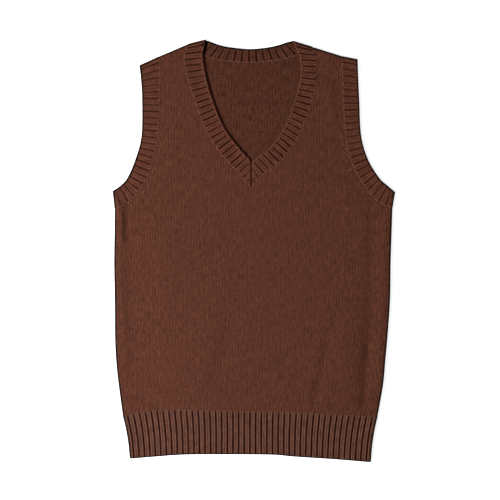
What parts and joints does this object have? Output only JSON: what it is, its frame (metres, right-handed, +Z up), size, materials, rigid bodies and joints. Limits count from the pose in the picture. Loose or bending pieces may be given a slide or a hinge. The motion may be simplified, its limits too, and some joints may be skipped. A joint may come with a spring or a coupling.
{
  "type": "knitted sweater vest",
  "caption": "Sleeveless V-neck knitted vest lying flat, front up, with ribbed neckband, armbands and hem, open at neck, armholes and hem.",
  "frame": {"origin": "centre of the outline on the surface that the vest lies on", "axes": "+Y towards the neck, +X across the chest to the right as seen from above, +Z up from the surface through the back and then the front"},
  "size_m": [0.4404, 0.6584, 0.0081],
  "materials": {
    "body_knit": "matt",
    "rib_knit": "matt"
  },
  "bodies": {
    "root": {"front_panel": "body_knit", "back_panel": "body_knit", "front_hem_rib": "rib_knit", "back_hem_rib": "rib_knit", "neckband": "rib_knit", "armband_left": "rib_knit", "armband_right": "rib_knit"}
  },
  "joints": []
}
